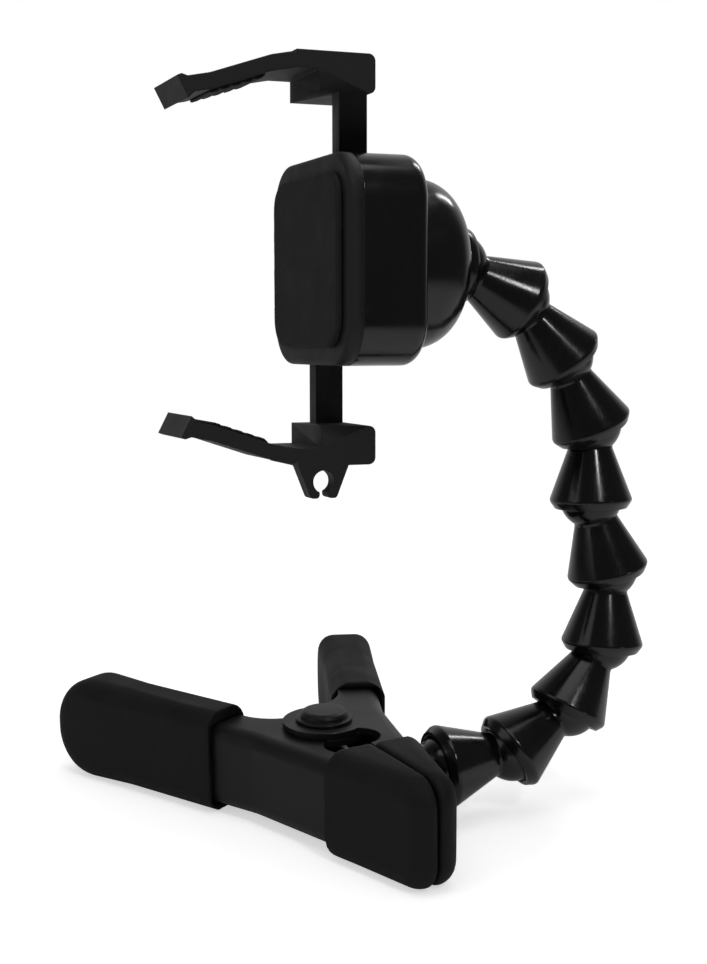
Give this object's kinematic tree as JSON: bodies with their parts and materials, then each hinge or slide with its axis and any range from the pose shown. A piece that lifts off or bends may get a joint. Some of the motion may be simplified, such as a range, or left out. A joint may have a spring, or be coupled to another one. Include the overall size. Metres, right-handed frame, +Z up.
{
  "type": "spring clamp phone holder",
  "caption": "Spring clamp with a ball-jointed segmented arm that carries a swivelling cradle with two sliding jaws and a cord clip.",
  "frame": {"origin": "on the surface it lies on, under the middle of the part's outline in plan", "axes": "+Z up, +Y from the cradle's seat towards its back, +X along the held handset's length towards the clamp's jaws"},
  "size_m": [0.0928, 0.1022, 0.1367],
  "materials": {
    "black_steel": "satin black enamel on pressed steel",
    "spring_steel": "plain drawn wire",
    "black_vinyl": "soft matt vinyl",
    "gloss_black_plastic": "glossy moulded acetal",
    "matte_black_plastic": "fine matt moulded",
    "black_rubber": "matt rubber",
    "white_acetal": "natural acetal"
  },
  "bodies": {
    "clamp_base": {"clamp_rear_arm": "black_steel", "rear_handle_grip": "black_vinyl", "rear_jaw_pad": "black_vinyl", "pivot_rivet": "black_steel", "torsion_spring": "spring_steel", "ball_stud": "gloss_black_plastic", "stud_screw": "spring_steel"},
    "clamp_front": {"clamp_front_arm": "black_steel", "front_handle_grip": "black_vinyl", "front_jaw_pad": "black_vinyl"},
    "link_9": {"arm_link_9": "gloss_black_plastic"},
    "link_8": {"arm_link_8": "gloss_black_plastic"},
    "link_7": {"arm_link_7": "gloss_black_plastic"},
    "link_6": {"arm_link_6": "gloss_black_plastic"},
    "link_5": {"arm_link_5": "gloss_black_plastic"},
    "link_4": {"arm_link_4": "gloss_black_plastic"},
    "link_3": {"arm_link_3": "gloss_black_plastic"},
    "link_2": {"arm_link_2": "gloss_black_plastic"},
    "link_1": {"arm_link_1": "gloss_black_plastic"},
    "hub": {"hub_socket": "gloss_black_plastic"},
    "cradle": {"cradle_rear_shell": "gloss_black_plastic", "cradle_front_cover": "matte_black_plastic", "cradle_back_pad": "black_rubber"},
    "jaw_upper": {"upper_jaw": "matte_black_plastic", "upper_jaw_pad": "black_rubber"},
    "jaw_lower": {"lower_jaw": "matte_black_plastic", "lower_jaw_pad": "black_rubber"},
    "pinion": {"jaw_pinion": "white_acetal"}
  },
  "joints": [
    {"name": "clamp_pivot", "type": "hinge", "parent": "clamp_base", "child": "clamp_front", "pos_m": [0.00696, -0.01026, 0], "axis": [0, 0, -1], "range_deg": [0, 38], "stiffness_Nm_per_rad": 1, "springref_deg": -34.38, "deforming": ["torsion_spring"]},
    {"name": "arm_joint_9", "type": "hinge", "parent": "clamp_base", "child": "link_9", "pos_m": [0.01817, 0.00895, 0.0106], "axis": [0.9956, 0, 0.0941], "range_deg": [-34.5, 24.5]},
    {"name": "arm_joint_8", "type": "hinge", "parent": "link_9", "child": "link_8", "pos_m": [0.01806, 0.0227, 0.0118], "axis": [-0.9956, 0, -0.0941], "range_deg": [-5, 54]},
    {"name": "arm_joint_7", "type": "hinge", "parent": "link_8", "child": "link_7", "pos_m": [0.01742, 0.03471, 0.01856], "axis": [0.9956, 0, 0.0941], "range_deg": [-57, 2]},
    {"name": "arm_joint_6", "type": "hinge", "parent": "link_7", "child": "link_6", "pos_m": [0.01633, 0.04222, 0.03009], "axis": [-0.9956, 0, -0.0941], "range_deg": [-2.5, 56.5]},
    {"name": "arm_joint_5", "type": "hinge", "parent": "link_6", "child": "link_5", "pos_m": [0.01504, 0.04367, 0.04375], "axis": [0.9956, 0, 0.0941], "range_deg": [-48.5, 10.5]},
    {"name": "arm_joint_4", "type": "hinge", "parent": "link_5", "child": "link_4", "pos_m": [0.01377, 0.04056, 0.05713], "axis": [-0.9956, 0, -0.0941], "range_deg": [-36, 15.5]},
    {"name": "arm_joint_3", "type": "hinge", "parent": "link_4", "child": "link_3", "pos_m": [0.01247, 0.0408, 0.07087], "axis": [0.9956, 0, 0.0941], "range_deg": [-54.5, 4.5]},
    {"name": "arm_joint_2", "type": "hinge", "parent": "link_3", "child": "link_2", "pos_m": [0.01129, 0.03519, 0.08342], "axis": [-0.9956, 0, -0.0941], "range_deg": [-14.5, 44.5]},
    {"name": "arm_joint_1", "type": "hinge", "parent": "link_2", "child": "link_1", "pos_m": [0.01028, 0.02651, 0.0941], "axis": [0.9956, 0, 0.0941], "range_deg": [-52.5, 6.5]},
    {"name": "hub_joint", "type": "hinge", "parent": "link_1", "child": "hub", "pos_m": [0.00967, 0.01432, 0.10055], "axis": [-0.9956, 0, -0.0941], "range_deg": [-3.9, 55.1]},
    {"name": "cradle_turn", "type": "hinge", "parent": "hub", "child": "cradle", "pos_m": [0.00967, 0.01432, 0.10055], "axis": [0.0039, 0.9991, -0.0417], "continuous": true},
    {"name": "upper_jaw_slide", "type": "slide", "parent": "cradle", "child": "jaw_upper", "axis": [-0.094, 0.0419, 0.9947], "range_m": [-0.007, 0.0105]},
    {"name": "lower_jaw_slide", "type": "slide", "parent": "cradle", "child": "jaw_lower", "axis": [0.094, -0.0419, -0.9947], "range_m": [-0.007, 0.0105]},
    {"name": "pinion_turn", "type": "hinge", "parent": "cradle", "child": "pinion", "pos_m": [0.00958, -0.00796, 0.10148], "axis": [-0.0039, -0.9991, 0.0417], "range_deg": [-145.33, 208]}
  ],
  "couplings": [
    {"joint": "lower_jaw_slide", "follows": "upper_jaw_slide", "ratio": 1},
    {"joint": "pinion_turn", "follows": "upper_jaw_slide", "rad_per_m": 312.5}
  ]
}
